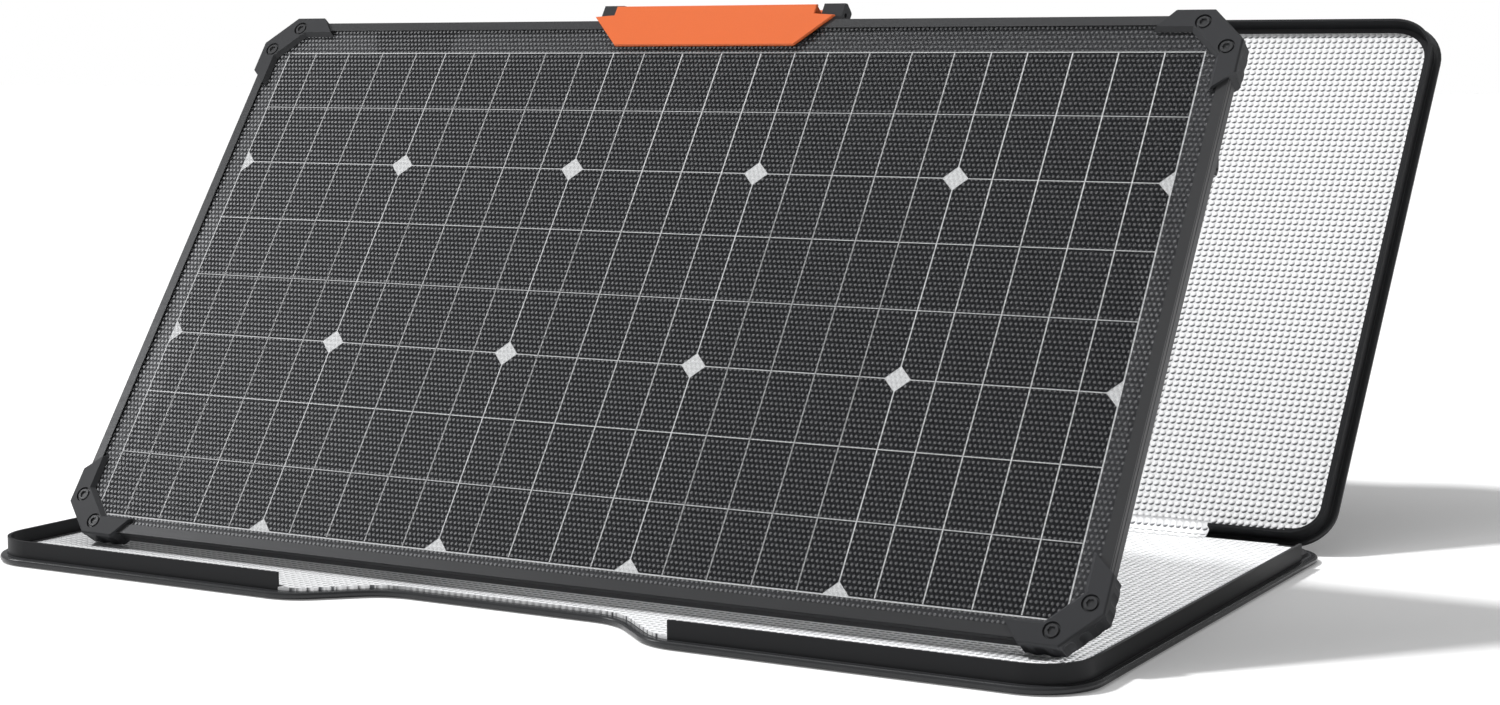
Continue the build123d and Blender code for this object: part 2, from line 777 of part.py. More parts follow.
def smallScrew(length):
    """Pan-head screw along -Z, head seat at the origin."""
    head = cyl(smallHeadRadius, smallHeadHeight, (0, 0, smallHeadHeight / 2), "z")
    head = fillet(head.edges().sort_by(Axis.Z)[-1], 0.5)
    screw = head + cyl(smallScrewRadius, length, (0, 0, -length / 2), "z")
    for turn in (0, 90):
        slot = Rot(0, 0, turn) * Box(smallHeadRadius * 1.3, 0.6, 1.2)
        screw -= Pos(0, 0, smallHeadHeight) * slot
    return screw


def buildTagScrews():
    """Four screws that hold the tag's foot to the top rail."""
    seat = halfH + tagFootThickness
    return grouped([Pos(x, seat, tagScrewZ) * Rot(-90, 0, 0) * smallScrew(tagFootThickness + railWall)
                    for x in tagScrewPlaces])


# ================= rear stand =================
# Stand mounts are drawn with the panel. The heel line is at (heelLine, 0) there.
heelLine = -frameMid
standY = heelLine + standPivotFromHeel
standZ = cellTop - standPivotBehindCells
crossRear = frameRear + railFootThickness
crossHalf = halfW - railBoxWidth - seatGap
bracketScrewOffset = 10.0
railScrewX = halfW - railFootWidth + 5


def buildCrossRail():
    """Hollow rail between the side rails."""
    w = crossRailWidth / 2
    t = crossRailWall
    rail = block((-crossHalf, crossHalf), (standY - w, standY + w), (crossRear, crossRear + crossRailDepth))
    rail -= block((-halfW, halfW), (standY - w + t, standY + w - t),
                  (crossRear + t, crossRear + crossRailDepth - t))
    for x, y in bracketScrewPlaces() + railScrewPlaces():
        rail -= cyl(smallScrewRadius + seatGap / 2, 6, (x, y, crossRear), "z")
    return rail


def bracketScrewPlaces():
    places = []
    for side in (-1, 1):
        for step in (-1, 1):
            across = legWidth / 2 + hingeEarThickness + 5.5
            places.append((side * standHalfWidth + step * across, standY))
    return places


def railScrewPlaces():
    return [(sx * railScrewX, standY + sy * bracketScrewOffset) for sx in (-1, 1) for sy in (-1, 1)]


def buildHingeBrackets():
    """Two folded brackets with an ear on each side of a leg."""
    half = legWidth / 2 + fitGap
    out = half + hingeEarThickness + 9
    plate = block((standHalfWidth - out, standHalfWidth + out), (standY - 9, standY + 9),
                  (crossRear - hingePlateThickness, crossRear))
    bracket = plate
    for side in (-1, 1):
        x = standHalfWidth + side * (half + hingeEarThickness / 2)
        ear = cyl(hingeEarRadius, hingeEarThickness, (x, standY, standZ))
        ear += block((x - hingeEarThickness / 2, x + hingeEarThickness / 2),
                     (standY - hingeEarRadius, standY + hingeEarRadius), (standZ, crossRear))
        bracket += ear
    bracket -= cyl(standPinRadius, 60, (standHalfWidth, standY, standZ))
    pair = bothSides(bracket)
    shafts = [cyl(smallScrewRadius + seatGap, 20, (x, y, crossRear), "z") for x, y in bracketScrewPlaces()]
    return grouped([one - shafts for one in pair])


def buildStandPins():
    """A pin through each bracket, with flanged ends."""
    half = legWidth / 2 + fitGap + hingeEarThickness
    pin = cyl(standPinRadius, 2 * half, (standHalfWidth, standY, standZ))
    for side in (-1, 1):
        pin += cyl(standPinRadius + 1.2, 1.2, (standHalfWidth + side * (half + 0.6), standY, standZ))
    return grouped(bothSides(pin))


def buildBracketScrews():
    low = crossRear - hingePlateThickness
    return grouped([Pos(x, y, low) * Rot(180, 0, 0) * smallScrew(hingePlateThickness + crossRailWall + 1)
                    for x, y in bracketScrewPlaces()])


def buildRailScrews():
    return grouped([Pos(x, y, frameRear) * Rot(180, 0, 0) * smallScrew(railFootThickness + crossRailWall + 1)
                    for x, y in railScrewPlaces()])


standLength = math.hypot(standPivotFromHeel, standZ)
standLean = panelLean + math.degrees(math.atan2(standZ, standPivotFromHeel))


def standPlane():
    """The stand leans forward at the same angle as its pivot's line to the heel."""
    a = math.radians(standLean)
    pivot = (panelRightOfMiddle, heelY + standLength * math.cos(a), heelHeight + standLength * math.sin(a))
    return leanPlane(pivot, -standLean)


def buildStandLegs():
    """Two flat legs. Drawn with the pivot at the origin, legs along +Y."""
    low = standHalfWidth - legWidth / 2
    high = standHalfWidth + legWidth / 2
    t = guardHeelRound
    leg = block((low, high), (0, standLength), (-t, t))
    leg += cyl(legEyeRadius, legWidth, (standHalfWidth, 0, 0))
    leg += cyl(t, legWidth, (standHalfWidth, standLength, 0))
    leg -= cyl(standPinRadius + runningGap, 2 * legWidth, (standHalfWidth, 0, 0))
    leg -= cyl(footRodRadius, 2 * legWidth, (standHalfWidth, standLength, 0))
    return grouped(bothSides(leg))


def buildFootRod():
    """Steel rod that ties the legs together at the feet."""
    return cyl(footRodRadius, 2 * standHalfWidth + legWidth + 4, (0, standLength, 0))


def buildFeet():
    """Rubber sleeves on the rod beside the legs."""
    x = standHalfWidth - legWidth / 2 - seatGap - footSleeveLength / 2
    at = (x, standLength, 0)
    sleeve = cyl(guardHeelRound, footSleeveLength, at) - cyl(footRodRadius, footSleeveLength, at)
    return grouped(bothSides(sleeve))


# ================= junction box =================
boxY = halfH - boxCentreBelowFrameTop
boxRear = rearSheetLow - boxDepth


def buildBoxBase():
    """Open tray bonded to the rear sheet."""
    w = boxWidth / 2
    h = boxHeight / 2
    tray = block((-w, w), (boxY - h, boxY + h), (boxRear, rearSheetLow))
    tray = fillet(tray.edges().filter_by(Axis.Z), 5)
    tray -= block((-w + boxWall, w - boxWall), (boxY - h + boxWall, boxY + h - boxWall),
                  (boxRear - 1, rearSheetLow - boxWall))
    for x, y in boxScrewPlaces():
        tray += cyl(3.2, boxDepth, (x, y, boxRear + boxDepth / 2), "z")
    for x, y in boxScrewPlaces():
        tray -= cyl(smallScrewRadius + seatGap / 2, 2 * 8, (x, y, boxRear), "z")
    return tray


def boxScrewPlaces():
    x = boxWidth / 2 - 6
    y = boxHeight / 2 - 6
    return [(sx * x, boxY + sy * y) for sx in (-1, 1) for sy in (-1, 1)]


def buildBoxLid():
    """Lid with a raised field."""
    w = boxWidth / 2
    h = boxHeight / 2
    lid = block((-w, w), (boxY - h, boxY + h), (boxRear - boxLidThickness, boxRear))
    lid = fillet(lid.edges().filter_by(Axis.Z), 5)
    lid = chamfer(lid.faces().sort_by(Axis.Z)[0].edges(), 0.8)
    for x, y in boxScrewPlaces():
        lid -= cyl(smallScrewRadius + seatGap, 10, (x, y, boxRear), "z")
    return lid


def buildBoxScrews():
    seat = boxRear - boxLidThickness
    return grouped([Pos(x, y, seat) * Rot(180, 0, 0) * smallScrew(7.5) for x, y in boxScrewPlaces()])


def buildTerminals():
    """Three terminal blocks, each with a clamp bore."""
    dx, dy, dz = terminalSize
    floor = rearSheetLow - boxWall
    blocks = []
    for k in (-1, 0, 1):
        x = k * (dx + 6)
        one = block((x - dx / 2, x + dx / 2), (boxY - dy / 2, boxY + dy / 2), (floor - dz, floor))
        one -= cyl(2.2, 2 * dy, (x, boxY, floor - dz / 2), "y")
        blocks.append(one)
    return grouped(blocks)


socketY = boxY - socketBelowBoxMiddle
socketZ = frameRear - socketBoreRadius - socketBehindFrame
socketMouth = boxWidth / 2 + socketLength


def buildSocket():
    """Round output socket on the right wall of the box."""
    body = cyl(socketRadius, socketLength, (socketMouth - socketLength / 2, socketY, socketZ))
    rims = body.edges().filter_by(lambda e: (e @ 0.5).X > socketMouth - 0.1)
    body = chamfer(rims, 0.6)
    body -= cyl(socketBoreRadius, 2 * socketBoreDepth, (socketMouth, socketY, socketZ))
    deep = socketBoreDepth + socketContactThickness
    return body - cyl(socketContactRadius, 2 * deep, (socketMouth, socketY, socketZ))


def buildSocketContact():
    """Contact disc in the pocket behind the bore."""
    x = socketMouth - socketBoreDepth - socketContactThickness / 2
    return cyl(socketContactRadius, socketContactThickness, (x, socketY, socketZ))


# ================= lugs =================
def buildLugs():
    """Wedge-shaped tie-down lugs on the rear of the side rails."""
    y = halfH - lugCentreBelowFrameTop
    low = y - lugLength / 2
    high = y + lugLength / 2
    rear = frameRear - lugStandOff
    lug = sideProfile([(low, frameRear), (low, rear), (low + 5.6, rear), (high, frameRear)],
                      halfW - lugThickness, halfW)
    hole = cyl(lugHoleRadius, 40, (halfW, low + 3.2, lugHoleZ))
    return grouped(bothSides(lug - hole))


lugHoleZ = frameRear - lugStandOff / 2


# ================= sub-parts =================
def caseParts():
    """Both case halves, the hinge fabric and the prop."""
    grooves = propGrooves()
    board = buildBoard(upperHingeEdge) - grooves[0]
    for cutter in grooves[1:]:
        for one in bothSides(cutter):
            board = board - one
    lowerSkirts = placed(buildSkirts(lowerHingeEdge, False), lowerPlane).solids().sort_by(Axis.X)
    upperSkirts = placed(buildSkirts(upperHingeEdge, True), upperPlane).solids().sort_by(Axis.X)
    return {
        "base_shell": placed(buildBoard(lowerHingeEdge), lowerPlane),
        "base_edge_piping": placed(buildBead(lowerHingeEdge), lowerPlane),
        "base_skirt_left": lowerSkirts[0],
        "base_skirt_right": lowerSkirts[-1],
        "base_welt": placed(buildWelt(lowerHingeEdge), lowerPlane),
        "base_reflector": placed(buildLiner(lowerHingeEdge), lowerPlane),
        "hinge_fabric": placed(buildHingeFabric(), lowerPlane),
        "back_shell": placed(board, upperPlane),
        "back_edge_piping": placed(buildBead(upperHingeEdge), upperPlane),
        "back_skirt_left": upperSkirts[0],
        "back_skirt_right": upperSkirts[-1],
        "back_welt": placed(buildWelt(upperHingeEdge), upperPlane),
        "back_reflector": placed(buildLiner(upperHingeEdge), upperPlane),
        "prop_brackets": placed(buildPropBrackets(), upperPlane),
        "prop_wire": placed(buildPropWire(), propPlane()),
        "prop_foot_sleeve": placed(buildPropSleeve(), propPlane()),
    }


def panelParts():
    """Everything fixed to the panel, and the tag."""
    guards = atCorners(buildGuard())
    flat = {
        "frame_rail_top": buildRail("top"),
        "frame_rail_bottom": buildRail("bottom"),
        "frame_rail_left": buildRail("left"),
        "frame_rail_right": buildRail("right"),
        "frame_corner_keys": grouped(atCorners(buildCornerKey())),
        "frame_gasket": buildGasket(),
        "front_sheet": buildFrontSheet(),
        "front_encapsulant": buildFrontFilm(),
        "solar_cells": buildCells(),
        "cell_ribbons": buildRibbons(),
        "grid_backing": buildBacking(),
        "rear_encapsulant": buildRearFilm(),
        "rear_sheet": buildRearSheet(),
        "corner_guard_bottom_left": guards[0],
        "corner_guard_top_left": guards[1],
        "corner_guard_bottom_right": guards[2],
        "corner_guard_top_right": guards[3],
        "guard_screws": buildGuardScrews(),
        "guard_washers": buildGuardWashers(),
        "junction_box_base": buildBoxBase(),
        "junction_box_lid": buildBoxLid(),
        "junction_box_screws": buildBoxScrews(),
        "junction_terminals": buildTerminals(),
        "output_socket": buildSocket(),
        "socket_contact": buildSocketContact(),
        "tag_bracket": buildTagBracket(),
        "tag_pin": buildTagPin(),
        "tag_bracket_screws": buildTagScrews(),
        "tag_plate": buildTagPlate(),
        "stand_cross_rail": buildCrossRail(),
        "stand_hinge_brackets": buildHingeBrackets(),
        "stand_pins": buildStandPins(),
        "stand_rail_screws": buildRailScrews(),
        "stand_bracket_screws": buildBracketScrews(),
        "hanging_lugs": buildLugs(),
    }
    return {name: placed(part, panelPlane, frameMid) for name, part in flat.items()}


def standParts():
    """The stand that turns on the panel's brackets."""
    return {
        "stand_legs": placed(buildStandLegs(), standPlane()),
        "stand_foot_rod": placed(buildFootRod(), standPlane()),
        "stand_feet": placed(buildFeet(), standPlane()),
    }


os.makedirs("parts", exist_ok=True)
for partSet in (caseParts(), panelParts(), standParts()):
    for name, part in partSet.items():
        export_step(part, f"parts/{name}.step")
        print(name, len(part.solids()), round(part.volume, 1))
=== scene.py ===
import math

import bpy
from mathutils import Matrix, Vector


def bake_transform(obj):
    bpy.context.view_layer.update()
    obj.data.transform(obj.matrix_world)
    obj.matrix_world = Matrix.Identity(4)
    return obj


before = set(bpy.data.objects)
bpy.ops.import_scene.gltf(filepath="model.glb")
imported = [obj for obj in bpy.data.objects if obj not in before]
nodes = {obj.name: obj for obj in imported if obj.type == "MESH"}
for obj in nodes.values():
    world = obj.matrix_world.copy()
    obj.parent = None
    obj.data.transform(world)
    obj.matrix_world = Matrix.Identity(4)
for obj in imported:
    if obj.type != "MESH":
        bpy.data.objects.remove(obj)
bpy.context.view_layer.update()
print("frame loaded:", len(nodes), "nodes")


# the planes that the leaning parts lie in, for grain and embossing that run with them
lean = {"panel": math.radians(55.28), "back": math.radians(51.7), "flat": 0.0}


# shared node groups
def newGroup(name, inputs, outputs):
    group = bpy.data.node_groups.new(name, "ShaderNodeTree")
    for label, kind, value in inputs:
        socket = group.interface.new_socket(name=label, in_out="INPUT", socket_type=kind)
        if value is not None:
            socket.default_value = value
    for label, kind in outputs:
        group.interface.new_socket(name=label, in_out="OUTPUT", socket_type=kind)
    entry = group.nodes.new("NodeGroupInput")
    leave = group.nodes.new("NodeGroupOutput")
    return group, entry, leave


def addMath(tree, operation, first, second=None, clamp=False):
    node = tree.nodes.new("ShaderNodeMath")
    node.operation = operation
    node.use_clamp = clamp
    for socket, value in zip(node.inputs, (first, second)):
        if value is None:
            continue
        if isinstance(value, (int, float)):
            socket.default_value = value
        else:
            tree.links.new(value, socket)
    return node.outputs[0]


def addMix(tree, factor, first, second):
    node = tree.nodes.new("ShaderNodeMix")
    node.data_type = "RGBA"
    for socket, value in ((node.inputs[0], factor), (node.inputs[6], first), (node.inputs[7], second)):
        if isinstance(value, (int, float)):
            socket.default_value = value
        elif isinstance(value, (tuple, list)):
            socket.default_value = (*value[:3], 1.0)
        else:
            tree.links.new(value, socket)
    return node.outputs[2]


# round bumps in rows, on the XY plane of the vector that comes in; the second output masks the lower side of
# each bump, where painted shade goes
dotShade = {"sideways": 0.35, "start": 0.12, "gain": 2.2, "rim": 3.0}


def makeDotRows():
    group, entry, leave = newGroup(
        "dotRows",
        [("Vector", "NodeSocketVector", None), ("Pitch Across", "NodeSocketFloat", 0.0058),
         ("Pitch Along", "NodeSocketFloat", 0.0058), ("Radius", "NodeSocketFloat", 0.0024),
         ("Stagger", "NodeSocketFloat", 0.0)],
        [("Height", "NodeSocketFloat"), ("Painted Shade Side", "NodeSocketFloat")])
    split = group.nodes.new("ShaderNodeSeparateXYZ")
    group.links.new(entry.outputs["Vector"], split.inputs[0])
    row = addMath(group, "DIVIDE", split.outputs[1], entry.outputs["Pitch Along"])
    odd = addMath(group, "MODULO", addMath(group, "FLOOR", row), 2.0)
    odd = addMath(group, "MULTIPLY", odd, entry.outputs["Stagger"])
    column = addMath(group, "DIVIDE", split.outputs[0], entry.outputs["Pitch Across"])
    column = addMath(group, "ADD", column, odd)
    across = addMath(group, "SUBTRACT", addMath(group, "FRACT", column), 0.5)
    along = addMath(group, "SUBTRACT", addMath(group, "FRACT", row), 0.5)
    dx = addMath(group, "MULTIPLY", across, entry.outputs["Pitch Across"])
    dy = addMath(group, "MULTIPLY", along, entry.outputs["Pitch Along"])
    squared = addMath(group, "ADD", addMath(group, "POWER", dx, 2.0), addMath(group, "POWER", dy, 2.0))
    reach = addMath(group, "DIVIDE", addMath(group, "SQRT", squared), entry.outputs["Radius"])
    inside = addMath(group, "SUBTRACT", 1.0, addMath(group, "POWER", reach, 2.0), clamp=True)
    group.links.new(inside, leave.inputs["Height"])
    # mask of each bump's lower side, for painted shade
    sideways = addMath(group, "MULTIPLY", dx, dotShade["sideways"])
    down = addMath(group, "ADD", addMath(group, "MULTIPLY", dy, -1.0), sideways)
    down = addMath(group, "DIVIDE", down, entry.outputs["Radius"])
    paintedLeeShade = addMath(group, "SUBTRACT", down, dotShade["start"], clamp=True)
    paintedLeeShade = addMath(group, "MULTIPLY", paintedLeeShade, dotShade["gain"], clamp=True)
    rim = addMath(group, "MULTIPLY", inside, dotShade["rim"], clamp=True)
    group.links.new(addMath(group, "MULTIPLY", paintedLeeShade, rim), leave.inputs["Painted Shade Side"])
    return group


# fine moulded grain with slow patches of tone
grainShade = {"speck": 0.10, "roughSwing": 0.8}


def makeMouldGrain():
    group, entry, leave = newGroup(
        "mouldGrain",
        [("Vector", "NodeSocketVector", None), ("Colour", "NodeSocketColor", (0.07, 0.07, 0.07, 1)),
         ("Grain Scale", "NodeSocketFloat", 1800.0), ("Patch Scale", "NodeSocketFloat", 9.0),
         ("Patch Strength", "NodeSocketFloat", 0.12), ("Roughness", "NodeSocketFloat", 0.5)],
        [("Colour", "NodeSocketColor"), ("Roughness", "NodeSocketFloat"), ("Height", "NodeSocketFloat")])
    grain = group.nodes.new("ShaderNodeTexNoise")
    grain.inputs["Detail"].default_value = 3.0
    group.links.new(entry.outputs["Vector"], grain.inputs["Vector"])
    group.links.new(entry.outputs["Grain Scale"], grain.inputs["Scale"])
    patch = group.nodes.new("ShaderNodeTexNoise")
    patch.inputs["Detail"].default_value = 4.0
    group.links.new(entry.outputs["Vector"], patch.inputs["Vector"])
    group.links.new(entry.outputs["Patch Scale"], patch.inputs["Scale"])
    swing = addMath(group, "MULTIPLY", addMath(group, "SUBTRACT", patch.outputs["Fac"], 0.5),
                    entry.outputs["Patch Strength"])
    speck = addMath(group, "SUBTRACT", grain.outputs["Fac"], 0.5)
    speck = addMath(group, "MULTIPLY", speck, grainShade["speck"])
    tone = addMath(group, "ADD", 1.0, addMath(group, "ADD", swing, speck))
    toned = group.nodes.new("ShaderNodeVectorMath")
    toned.operation = "SCALE"
    group.links.new(entry.outputs["Colour"], toned.inputs[0])
    group.links.new(tone, toned.inputs["Scale"])
    group.links.new(toned.outputs[0], leave.inputs["Colour"])
    roughSwing = addMath(group, "MULTIPLY", swing, grainShade["roughSwing"])
    rough = addMath(group, "ADD", entry.outputs["Roughness"], roughSwing)
    group.links.new(rough, leave.inputs["Roughness"])
    group.links.new(grain.outputs["Fac"], leave.inputs["Height"])
    return group


# brushed or drawn metal: fine lines along X
def makeDrawnLines():
    group, entry, leave = newGroup(
        "drawnLines",
        [("Vector", "NodeSocketVector", None), ("Stretch", "NodeSocketFloat", 40.0)],
        [("Lines", "NodeSocketFloat")])
    scale = group.nodes.new("ShaderNodeMapping")
    scale.inputs["Scale"].default_value = (0.03, 1.0, 1.0)
    group.links.new(entry.outputs["Vector"], scale.inputs["Vector"])
    lines = group.nodes.new("ShaderNodeTexNoise")
    lines.inputs["Detail"].default_value = 5.0
    group.links.new(scale.outputs[0], lines.inputs["Vector"])
    group.links.new(entry.outputs["Stretch"], lines.inputs["Scale"])
    group.links.new(lines.outputs["Fac"], leave.inputs["Lines"])
    return group


# plain weave of over and under threads
def makeWeave():
    group, entry, leave = newGroup(
        "plainWeave",
        [("Vector", "NodeSocketVector", None), ("Thread", "NodeSocketFloat", 0.0006)],
        [("Height", "NodeSocketFloat")])
    split = group.nodes.new("ShaderNodeSeparateXYZ")
    group.links.new(entry.outputs["Vector"], split.inputs[0])
    waves = []
    for channel in (0, 1, 2):
        angle = addMath(group, "DIVIDE", split.outputs[channel], entry.outputs["Thread"])
        waves.append(addMath(group, "SINE", addMath(group, "MULTIPLY", angle, math.pi)))
    product = addMath(group, "MULTIPLY", waves[0], addMath(group, "ADD", waves[1], waves[2]))
    height = addMath(group, "ADD", addMath(group, "MULTIPLY", product, 0.35), 0.5)
    group.links.new(height, leave.inputs["Height"])
    return group


dotRows = makeDotRows()
mouldGrain = makeMouldGrain()
drawnLines = makeDrawnLines()
plainWeave = makeWeave()


# material helpers
def newMaterial(name):
    material = bpy.data.materials.new(name)
    material.use_nodes = True
    tree = material.node_tree
    shader = tree.nodes["Principled BSDF"]
    return material, tree, shader


def objectVector(tree, tilt=0.0):
    coords = tree.nodes.new("ShaderNodeTexCoord")
    if tilt == 0.0:
        return coords.outputs["Object"]
    turn = tree.nodes.new("ShaderNodeMapping")
    turn.inputs["Rotation"].default_value = (-tilt, 0, 0)
    tree.links.new(coords.outputs["Object"], turn.inputs["Vector"])
    return turn.outputs[0]


def useGroup(tree, group, vector, **values):
    node = tree.nodes.new("ShaderNodeGroup")
    node.node_tree = group
    tree.links.new(vector, node.inputs["Vector"])
    for label, value in values.items():
        socket = node.inputs[label.replace("_", " ")]
        socket.default_value = (*value, 1.0) if isinstance(value, tuple) else value
    return node


def addBump(tree, shader, height, distance, strength=1.0, before=None):
    bump = tree.nodes.new("ShaderNodeBump")
    bump.inputs["Distance"].default_value = distance
    bump.inputs["Strength"].default_value = strength
    tree.links.new(height, bump.inputs["Height"])
    if before is not None:
        tree.links.new(before, bump.inputs["Normal"])
    tree.links.new(bump.outputs[0], shader.inputs["Normal"])
    return bump.outputs[0]


def mouldedPlastic(name, settings, tilt=0.0):
    material, tree, shader = newMaterial(name)
    vector = objectVector(tree, tilt)
    grain = useGroup(tree, mouldGrain, vector, Colour=settings["colour"], Roughness=settings["roughness"],
                     Grain_Scale=settings["grain"], Patch_Strength=settings["patches"])
    tree.links.new(grain.outputs["Colour"], shader.inputs["Base Color"])
    tree.links.new(grain.outputs["Roughness"], shader.inputs["Roughness"])
    shader.inputs["Specular IOR Level"].default_value = settings.get("specular", 0.5)
    shader.inputs["Metallic"].default_value = settings.get("metallic", 0.0)
    addBump(tree, shader, grain.outputs["Height"], settings["bump"])
    return material


lineSwing = 0.25  # how far the drawn lines change the roughness


def drawnMetal(name, settings, tilt=0.0):
    material, tree, shader = newMaterial(name)
    vector = objectVector(tree, tilt)
    grain = useGroup(tree, mouldGrain, vector, Colour=settings["colour"], Roughness=settings["roughness"],
                     Grain_Scale=settings["grain"], Patch_Strength=settings["patches"])
    lines = useGroup(tree, drawnLines, vector, Stretch=settings["lines"])
    tree.links.new(grain.outputs["Colour"], shader.inputs["Base Color"])
    swing = addMath(tree, "SUBTRACT", lines.outputs["Lines"], 0.5)
    rough = addMath(tree, "ADD", grain.outputs["Roughness"], addMath(tree, "MULTIPLY", swing, lineSwing))
    tree.links.new(rough, shader.inputs["Roughness"])
    shader.inputs["Metallic"].default_value = settings["metallic"]
    addBump(tree, shader, lines.outputs["Lines"], settings["bump"])
    return material


def wovenFabric(name, settings, tilt=0.0):
    material, tree, shader = newMaterial(name)
    vector = objectVector(tree, tilt)
    grain = useGroup(tree, mouldGrain, vector, Colour=settings["colour"], Roughness=settings["roughness"],
                     Grain_Scale=900.0, Patch_Strength=settings["patches"])
    weave = useGroup(tree, plainWeave, vector, Thread=settings["thread"])
    shade = addMix(tree, addMath(tree, "MULTIPLY", weave.outputs["Height"], 0.5), grain.outputs["Colour"],
                   settings["light"])
    tree.links.new(shade, shader.inputs["Base Color"])
    tree.links.new(grain.outputs["Roughness"], shader.inputs["Roughness"])
    shader.inputs["Sheen Weight"].default_value = 0.15
    addBump(tree, shader, weave.outputs["Height"], settings["bump"])
    return material


def dress(material, *names):
    for name in names:
        for slot in nodes[name].material_slots:
            slot.material = material


# case halves
boardLook = {"colour": (0.040, 0.041, 0.044), "roughness": 0.62, "grain": 1500.0, "patches": 0.16,
             "bump": 0.00006}
beadLook = {"colour": (0.034, 0.035, 0.037), "roughness": 0.22, "grain": 2400.0, "patches": 0.10,
            "bump": 0.00002, "specular": 0.36}
skirtLook = {"colour": (0.021, 0.0215, 0.023), "roughness": 0.45, "grain": 1900.0, "patches": 0.12,
             "bump": 0.00003, "specular": 0.14}
weltLook = {"colour": (0.012, 0.012, 0.014), "light": (0.03, 0.03, 0.033), "roughness": 0.8, "patches": 0.2,
            "thread": 0.0005, "bump": 0.00015}

dress(mouldedPlastic("boardSkin", boardLook), "base_shell")
dress(mouldedPlastic("boardSkinBack", boardLook, lean["back"]), "back_shell")
dress(mouldedPlastic("edgeBead", beadLook), "base_edge_piping", "back_edge_piping")
dress(mouldedPlastic("skirtPlastic", skirtLook), "base_skirt_left", "base_skirt_right", "back_skirt_left",
      "back_skirt_right")
dress(wovenFabric("blackWelt", weltLook), "base_welt", "hinge_fabric")
dress(wovenFabric("blackWeltBack", weltLook, lean["back"]), "back_welt")
print("case halves dressed")


# embossed reflective liner, with painted shade on the lower side of each bump
linerLook = {"light": (0.93, 0.935, 0.945), "flatWithPaintedShade": (0.84, 0.845, 0.855),
             "shade": (0.11, 0.115, 0.125), "across": 0.0057, "along": 0.0061,
             "radius": 0.0027, "depth": 0.0013, "roughness": 0.36, "metallic": 0.0, "paintedLeeShade": 1.0}


def embossedLiner(name, tilt, light):
    material, tree, shader = newMaterial(name)
    vector = objectVector(tree, tilt)
    dots = useGroup(tree, dotRows, vector, Pitch_Across=linerLook["across"], Pitch_Along=linerLook["along"],
                    Radius=linerLook["radius"])
    grain = useGroup(tree, mouldGrain, vector, Colour=light, Roughness=linerLook["roughness"],
                     Grain_Scale=700.0, Patch_Strength=0.04)
    # painted shade: the shade colour is mixed in on each bump's lower side
    paintedLeeShade = addMath(tree, "MULTIPLY", dots.outputs["Painted Shade Side"], linerLook["paintedLeeShade"])
    paintedShadeColour = addMix(tree, paintedLeeShade, grain.outputs["Colour"], linerLook["shade"])
    tree.links.new(paintedShadeColour, shader.inputs["Base Color"])
    tree.links.new(grain.outputs["Roughness"], shader.inputs["Roughness"])
    shader.inputs["Metallic"].default_value = linerLook["metallic"]
    addBump(tree, shader, dots.outputs["Height"], linerLook["depth"])
    return material


# the flat liner, and the fold that shares it, take a darker copy of the liner colour as painted shade
flatLiner = embossedLiner("embossedLiner", lean["flat"], linerLook["flatWithPaintedShade"])
dress(flatLiner, "base_reflector")
dress(embossedLiner("embossedLinerBack", lean["back"], linerLook["light"]), "back_reflector")


# the liner runs on over the hinge as one sheet
foldLook = {"half": 0.3655, "thick": 0.0004, "lift": 0.00015, "overlap": 0.006, "steps": 14, "columns": 60,
            "baseEdge": (0.260, 0.0080), "backEdge": (0.27181, 0.01372), "pull": 0.0045, "length": 0.0272}


def foldPath():
    run = Vector(foldLook["baseEdge"]) - Vector((foldLook["overlap"], 0))
    slope = Vector((math.cos(lean["back"]), math.sin(lean["back"])))
    rise = Vector(foldLook["backEdge"]) + slope * foldLook["overlap"]
    start = Vector(foldLook["baseEdge"])
    end = Vector(foldLook["backEdge"])
    first = start + Vector((foldLook["pull"], 0))
    second = end - slope * foldLook["pull"]
    points = [run]
    for step in range(foldLook["steps"] + 1):
        t = step / foldLook["steps"]
        near = (1 - t) ** 3 * start + 3 * t * (1 - t) ** 2 * first
        points.append(near + 3 * t * t * (1 - t) * second + t ** 3 * end)
    points.append(rise)
    return points


def addFold():
    path = foldPath()
    faces = []
    places = []
    for index, point in enumerate(path):
        before = path[max(index - 1, 0)]
        after = path[min(index + 1, len(path) - 1)]
        along = (after - before).normalized()
        outward = Vector((-along.y, along.x))
        for lift in (foldLook["lift"], foldLook["lift"] + foldLook["thick"]):
            spot = point + outward * lift
            for column in range(foldLook["columns"] + 1):
                x = -foldLook["half"] + 2 * foldLook["half"] * column / foldLook["columns"]
                places.append((x, spot.x, spot.y))
    row = foldLook["columns"] + 1
    for index in range(len(path) - 1):
        for side in (0, 1):
            base = (2 * index + side) * row
            for column in range(foldLook["columns"]):
                a = base + column
                quad = (a, a + 1, a + 1 + 2 * row, a + 2 * row)
                faces.append(quad if side else quad[::-1])
        for a in (2 * index * row, 2 * index * row + row - 1):
            faces.append((a, a + row, a + 3 * row, a + 2 * row))
    for a in (0, 2 * (len(path) - 1) * row):
        for column in range(foldLook["columns"]):
            faces.append((a + column, a + column + 1, a + column + 1 + row, a + column + row))
    mesh = bpy.data.meshes.new("linerFold")
    mesh.from_pydata(places, [], faces)
    fold = bpy.data.objects.new("linerFold", mesh)
    bpy.context.collection.objects.link(fold)
    mesh.materials.append(flatLiner)
    mesh.polygons.foreach_set("use_smooth", [True] * len(mesh.polygons))
    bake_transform(fold)
    return fold


fold = addFold()
print("liner dressed")


